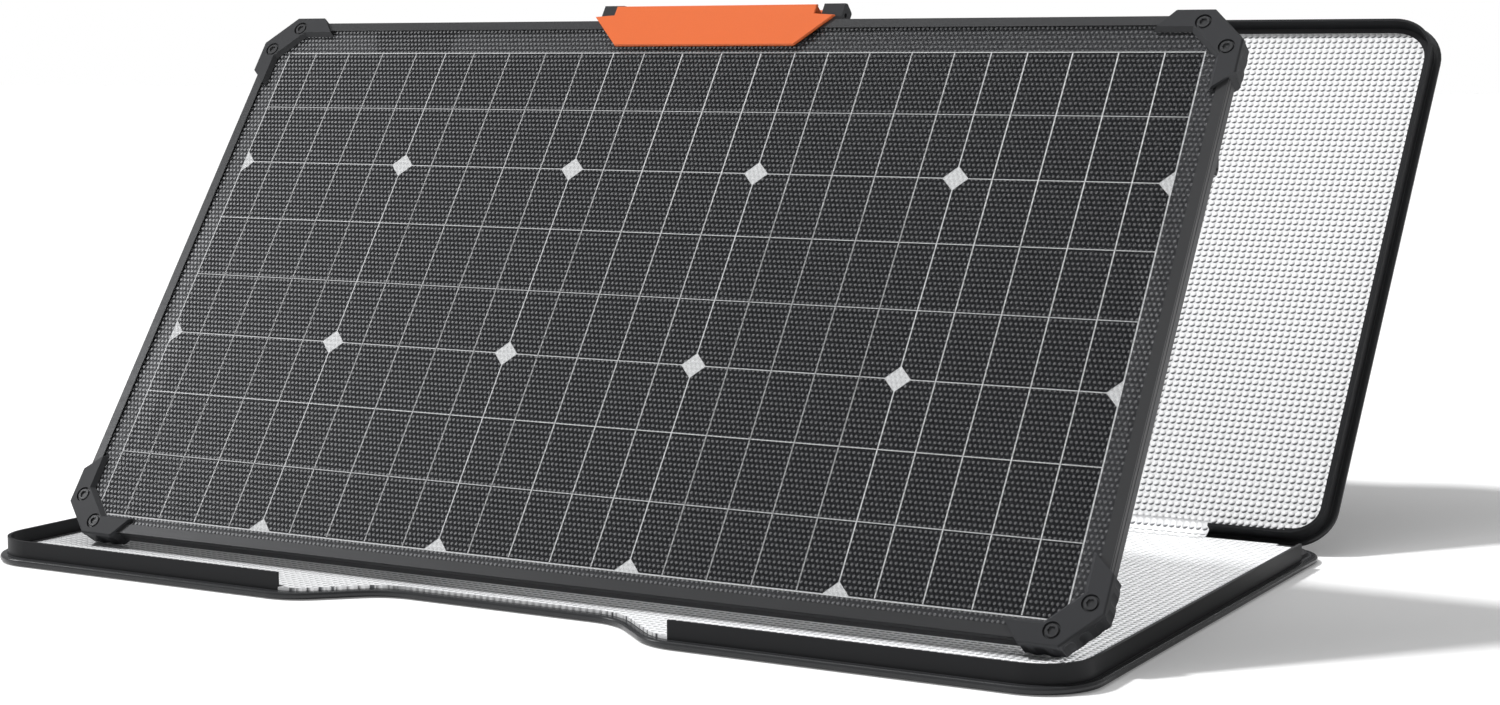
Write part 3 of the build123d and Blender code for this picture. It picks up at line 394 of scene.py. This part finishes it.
# panel
frameLook = {"colour": (0.080, 0.081, 0.084), "roughness": 0.42, "grain": 2600.0, "patches": 0.06,
             "lines": 900.0, "metallic": 0.65, "bump": 0.00002}
guardLook = {"colour": (0.040, 0.041, 0.044), "roughness": 0.55, "grain": 1700.0, "patches": 0.10,
             "bump": 0.00005, "specular": 0.3}
rubberLook = {"colour": (0.014, 0.014, 0.015), "roughness": 0.6, "grain": 1500.0, "patches": 0.15,
              "bump": 0.00004}
blackPartLook = {"colour": (0.024, 0.024, 0.026), "roughness": 0.5, "grain": 1800.0, "patches": 0.12,
                 "bump": 0.00005}
screwLook = {"colour": (0.060, 0.061, 0.064), "roughness": 0.40, "grain": 2200.0, "patches": 0.1,
             "lines": 1500.0, "metallic": 0.35, "bump": 0.00002}
steelLook = {"colour": (0.55, 0.56, 0.58), "roughness": 0.28, "grain": 1800.0, "patches": 0.08,
             "lines": 1200.0, "metallic": 1.0, "bump": 0.00002}
standLook = {"colour": (0.10, 0.102, 0.106), "roughness": 0.4, "grain": 2400.0, "patches": 0.08,
             "lines": 900.0, "metallic": 0.7, "bump": 0.00002}
brassLook = {"colour": (0.72, 0.52, 0.24), "roughness": 0.3, "grain": 1800.0, "patches": 0.1,
             "lines": 1200.0, "metallic": 1.0, "bump": 0.00002}
rearLook = {"colour": (0.045, 0.046, 0.05), "roughness": 0.5, "grain": 1100.0, "patches": 0.1,
            "bump": 0.00004}

frameMetal = drawnMetal("anodisedFrame", frameLook, lean["panel"])
dress(frameMetal, "frame_rail_top", "frame_rail_bottom", "frame_rail_left", "frame_rail_right")
dress(mouldedPlastic("guardPlastic", guardLook, lean["panel"]), "corner_guard_top_left",
      "corner_guard_top_right", "corner_guard_bottom_left", "corner_guard_bottom_right", "tag_bracket")
dress(mouldedPlastic("blackRubber", rubberLook), "frame_gasket", "stand_feet", "prop_foot_sleeve")
dress(mouldedPlastic("blackPlastic", blackPartLook, lean["panel"]), "frame_corner_keys", "junction_box_base",
      "junction_box_lid", "junction_terminals", "output_socket", "hanging_lugs", "prop_brackets")
dress(drawnMetal("blackScrew", screwLook), "guard_screws", "guard_washers", "junction_box_screws",
      "tag_bracket_screws", "stand_rail_screws", "stand_bracket_screws", "stand_hinge_brackets")
dress(drawnMetal("bareSteel", steelLook), "tag_pin", "stand_pins", "stand_foot_rod", "prop_wire")
dress(drawnMetal("darkAlloy", standLook), "stand_cross_rail", "stand_legs")
dress(drawnMetal("socketBrass", brassLook), "socket_contact")
dress(mouldedPlastic("rearSheetFilm", rearLook, lean["panel"]), "rear_sheet", "rear_encapsulant")

tagLook = {"colour": (0.78, 0.152, 0.036), "roughness": 0.42, "grain": 1500.0, "patches": 0.03,
           "bump": 0.00002}
dress(mouldedPlastic("orangeTag", tagLook, lean["panel"]), "tag_plate")


# cells, ribbons and backing lie under the front sheet
cellLook = {"colour": (0.014, 0.0145, 0.0165), "roughness": 0.4, "grain": 900.0, "patches": 0.1,
            "bump": 0.00001, "specular": 0.12}
ribbonLook = {"colour": (0.96, 0.965, 0.97), "roughness": 0.35, "grain": 1500.0, "patches": 0.05,
              "bump": 0.00001, "metallic": 0.1, "specular": 0.2}
backingLook = {"colour": (0.92, 0.93, 0.94), "roughness": 0.5, "grain": 1200.0, "patches": 0.05,
               "bump": 0.00001, "specular": 0.2}
dress(mouldedPlastic("cellSilicon", cellLook, lean["panel"]), "solar_cells")
dress(mouldedPlastic("tinnedRibbon", ribbonLook, lean["panel"]), "cell_ribbons")
dress(mouldedPlastic("silverBacking", backingLook, lean["panel"]), "grid_backing")

sheetLook = {"tint": (0.034, 0.035, 0.037), "dotPaintedHighlight": (0.18, 0.182, 0.186), "across": 0.0038,
             "along": 0.0042, "radius": 0.00140, "depth": 0.00030, "roughness": 0.16, "dotRoughness": 0.14,
             "cover": 0.09, "dotCover": 0.27, "ior": 1.40, "crest": 1.8}


def embossedFrontSheet():
    material, tree, shader = newMaterial("embossedFrontSheet")
    vector = objectVector(tree, lean["panel"])
    dots = useGroup(tree, dotRows, vector, Pitch_Across=sheetLook["across"], Pitch_Along=sheetLook["along"],
                    Radius=sheetLook["radius"], Stagger=0.5)
    grain = useGroup(tree, mouldGrain, vector, Colour=sheetLook["tint"], Roughness=sheetLook["roughness"],
                     Grain_Scale=1300.0, Patch_Strength=0.08)
    # painted highlight: each dot's crest is coloured lighter and covers more of the cells below
    crest = addMath(tree, "MULTIPLY", dots.outputs["Height"], sheetLook["crest"], clamp=True)
    toned = addMix(tree, crest, grain.outputs["Colour"], sheetLook["dotPaintedHighlight"])
    tree.links.new(toned, shader.inputs["Base Color"])
    rough = addMath(tree, "ADD", grain.outputs["Roughness"],
                    addMath(tree, "MULTIPLY", crest, sheetLook["dotRoughness"]))
    tree.links.new(rough, shader.inputs["Roughness"])
    shader.inputs["IOR"].default_value = sheetLook["ior"]
    cover = addMath(tree, "ADD", sheetLook["cover"], addMath(tree, "MULTIPLY", crest, sheetLook["dotCover"]))
    tree.links.new(cover, shader.inputs["Alpha"])
    addBump(tree, shader, dots.outputs["Height"], sheetLook["depth"])
    return material


filmLook = {"colour": (0.05, 0.05, 0.055), "roughness": 0.5, "cover": 0.04}


def clearFilm():
    material, tree, shader = newMaterial("clearFilm")
    vector = objectVector(tree, lean["panel"])
    grain = useGroup(tree, mouldGrain, vector, Colour=filmLook["colour"], Roughness=filmLook["roughness"])
    tree.links.new(grain.outputs["Colour"], shader.inputs["Base Color"])
    tree.links.new(grain.outputs["Roughness"], shader.inputs["Roughness"])
    cover = addMath(tree, "MULTIPLY", grain.outputs["Height"], filmLook["cover"])
    tree.links.new(cover, shader.inputs["Alpha"])
    return material


dress(embossedFrontSheet(), "front_sheet")
dress(clearFilm(), "front_encapsulant")
print("panel dressed")


# floor, light and camera
roomLook = {"floor": (0.90, 0.90, 0.902), "lift": 0.16, "world": 0.28, "halfSize": 30.0, "drop": 0.0004}


def addFloor():
    mesh = bpy.data.meshes.new("floorMesh")
    size = roomLook["halfSize"]
    corners = [(-size, -size, 0), (size, -size, 0), (size, size, 0), (-size, size, 0)]
    mesh.from_pydata(corners, [], [(0, 1, 2, 3)])
    floor = bpy.data.objects.new("paleFloor", mesh)
    floor.location.z = -roomLook["drop"]
    bpy.context.collection.objects.link(floor)
    material, tree, shader = newMaterial("paleFloor")
    shader.inputs["Base Color"].default_value = (*roomLook["floor"], 1.0)
    shader.inputs["Roughness"].default_value = 1.0
    shader.inputs["Specular IOR Level"].default_value = 0.0
    path = tree.nodes.new("ShaderNodeLightPath")
    seen = path.outputs["Is Camera Ray"]
    shader.inputs["Emission Color"].default_value = (1, 1, 1, 1)
    tree.links.new(addMath(tree, "MULTIPLY", seen, roomLook["lift"]), shader.inputs["Emission Strength"])
    mesh.materials.append(material)
    return floor


def lightWorld():
    world = bpy.data.worlds.new("paleRoom")
    bpy.context.scene.world = world
    world.use_nodes = True
    tree = world.node_tree
    background = tree.nodes["Background"]
    background.inputs["Color"].default_value = (1, 1, 1, 1)
    path = tree.nodes.new("ShaderNodeLightPath")
    seen = path.outputs["Is Camera Ray"]
    rest = addMath(tree, "MULTIPLY", addMath(tree, "SUBTRACT", 1.0, seen), roomLook["world"])
    tree.links.new(addMath(tree, "ADD", seen, rest), background.inputs["Strength"])


lampLook = {
    "sun": {"azimuth": 78, "height": 52, "strength": 2.9, "spread": 6},
    "keyLeft": {"place": (-3.0, -1.0, 1.8), "target": (-0.2, 0, 0.15), "size": (1.0, 1.0), "power": 26},
    "sheenLeft": {"place": (-0.95, -0.6, 0.55), "target": (-0.40, 0, 0.25), "size": (0.4, 0.4), "power": 40},
    "fillRight": {"place": (1.7, 0.1, 1.0), "target": (0.3, 0.1, 0.0), "size": (0.8, 0.8), "power": 36},
    "stripTop": {"place": (-0.5, 0.5, 3.0), "target": (0, 0, 0), "size": (3.0, 0.6), "power": 17}}


def addSoftbox(name):
    look = lampLook[name]
    data = bpy.data.lights.new(name, "AREA")
    data.shape = "RECTANGLE"
    data.size, data.size_y = look["size"]
    data.energy = look["power"]
    lamp = bpy.data.objects.new(name, data)
    lamp.location = look["place"]
    outward = Vector(look["target"]) - Vector(look["place"])
    lamp.rotation_euler = outward.to_track_quat("-Z", "Y").to_euler()
    bpy.context.collection.objects.link(lamp)
    return lamp


# the panel doesn't mirror the sun, so its glare stays off the glass
def addSun():
    look = lampLook["sun"]
    data = bpy.data.lights.new("sunLeft", "SUN")
    data.energy = look["strength"]
    data.angle = math.radians(look["spread"])
    lamp = bpy.data.objects.new("sunLeft", data)
    azimuth = math.radians(look["azimuth"])
    height = math.radians(look["height"])
    flat = math.cos(height)
    toSun = Vector((-flat * math.sin(azimuth), -flat * math.cos(azimuth), math.sin(height)))
    lamp.rotation_euler = (-toSun).to_track_quat("-Z", "Y").to_euler()
    lamp.location = toSun * 4
    lamp.visible_glossy = False
    bpy.context.collection.objects.link(lamp)


# the lamp then lights these pieces only
def limitLamp(lamp, name, *pieces):
    group = bpy.data.collections.new(name)
    for piece in pieces:
        group.objects.link(piece)
    lamp.light_linking.receiver_collection = group


cameraLook = {"place": (1.0400, -1.7235, 0.3936), "azimuth": 28.98, "pitch": -6.476, "lens": 61.56}


def addCamera():
    data = bpy.data.cameras.new("viewCamera")
    data.lens = cameraLook["lens"]
    data.sensor_width = 36.0
    camera = bpy.data.objects.new("viewCamera", data)
    camera.location = cameraLook["place"]
    camera.rotation_euler = (math.radians(90 + cameraLook["pitch"]), 0, math.radians(cameraLook["azimuth"]))
    bpy.context.collection.objects.link(camera)
    bpy.context.scene.camera = camera


floor = addFloor()
lightWorld()
addSun()
key = addSoftbox("keyLeft")
sheen = addSoftbox("sheenLeft")
sheen.visible_glossy = False
fill = addSoftbox("fillRight")
addSoftbox("stripTop")
limitLamp(fill, "linerOnly", nodes["base_reflector"], fold)
limitLamp(sheen, "glassOnly", nodes["front_sheet"])
bright = ("front_sheet", "base_reflector")
limitLamp(key, "allButBright", floor, *(piece for name, piece in nodes.items() if name not in bright))
addCamera()
bpy.context.scene.view_settings.view_transform = "Standard"
print("room, lamps and camera ready")
